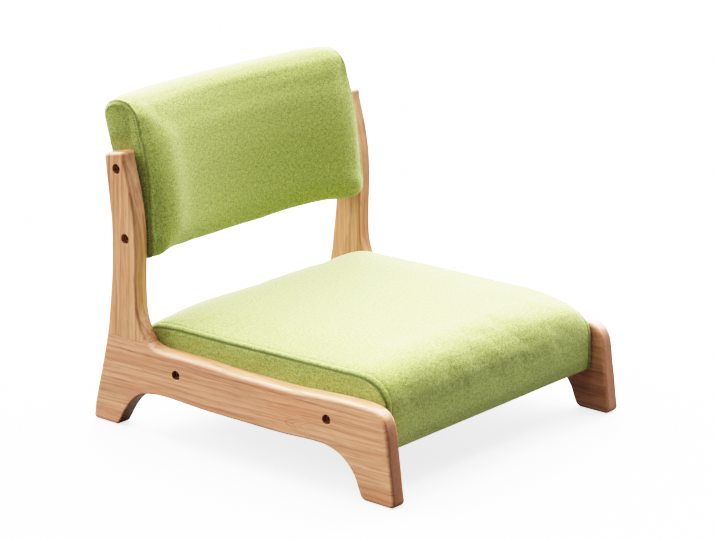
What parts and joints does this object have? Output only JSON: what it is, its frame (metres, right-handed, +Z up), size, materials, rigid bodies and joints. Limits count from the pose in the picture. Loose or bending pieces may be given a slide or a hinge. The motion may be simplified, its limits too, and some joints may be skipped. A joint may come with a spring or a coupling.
{
  "type": "floor chair",
  "caption": "Legless floor chair: wooden side boards with feet and curved uprights, a padded fabric seat bolted between them and a curved padded back bolted to the uprights.",
  "frame": {"origin": "on the floor, under the centre of the overall width and depth", "axes": "+Z up, -Y towards the front of the chair, +X to the right as seen from in front; left in a name is -X"},
  "size_m": [0.46, 0.5198, 0.4238],
  "materials": {
    "frame_wood": "satin",
    "inner_wood": "matte",
    "plywood": "matte",
    "cover_fabric": "matte",
    "foam": "matte",
    "lining": "matte",
    "bolt_metal": "satin",
    "zinc_steel": "satin"
  },
  "bodies": {
    "root": {"left_side_frame": "frame_wood", "left_upright": "frame_wood", "left_front_dowel": "inner_wood", "left_rear_dowel": "inner_wood", "right_side_frame": "frame_wood", "right_upright": "frame_wood", "right_front_dowel": "inner_wood", "right_rear_dowel": "inner_wood", "left_seat_front_bolt": "bolt_metal", "left_seat_front_washer": "zinc_steel", "left_seat_front_insert": "zinc_steel", "left_seat_rear_bolt": "bolt_metal", "left_seat_rear_washer": "zinc_steel", "left_seat_rear_insert": "zinc_steel", "left_back_lower_bolt": "bolt_metal", "left_back_lower_washer": "zinc_steel", "left_back_lower_insert": "zinc_steel", "left_back_upper_bolt": "bolt_metal", "left_back_upper_washer": "zinc_steel", "left_back_upper_insert": "zinc_steel", "right_seat_front_bolt": "bolt_metal", "right_seat_front_washer": "zinc_steel", "right_seat_front_insert": "zinc_steel", "right_seat_rear_bolt": "bolt_metal", "right_seat_rear_washer": "zinc_steel", "right_seat_rear_insert": "zinc_steel", "right_back_lower_bolt": "bolt_metal", "right_back_lower_washer": "zinc_steel", "right_back_lower_insert": "zinc_steel", "right_back_upper_bolt": "bolt_metal", "right_back_upper_washer": "zinc_steel", "right_back_upper_insert": "zinc_steel", "seat_front_rail": "inner_wood", "seat_rear_rail": "inner_wood", "seat_left_rail": "inner_wood", "seat_right_rail": "inner_wood", "seat_centre_brace": "inner_wood", "back_left_block": "inner_wood", "back_right_block": "inner_wood", "seat_deck": "plywood", "back_core": "plywood", "seat_foam": "foam", "back_foam_front": "foam", "back_foam_rear": "foam", "seat_cover_main": "cover_fabric", "seat_cover_left_side": "cover_fabric", "seat_cover_right_side": "cover_fabric", "back_cover_main": "cover_fabric", "back_cover_left_end": "cover_fabric", "back_cover_right_end": "cover_fabric", "seat_dust_cover": "lining"}
  },
  "joints": []
}
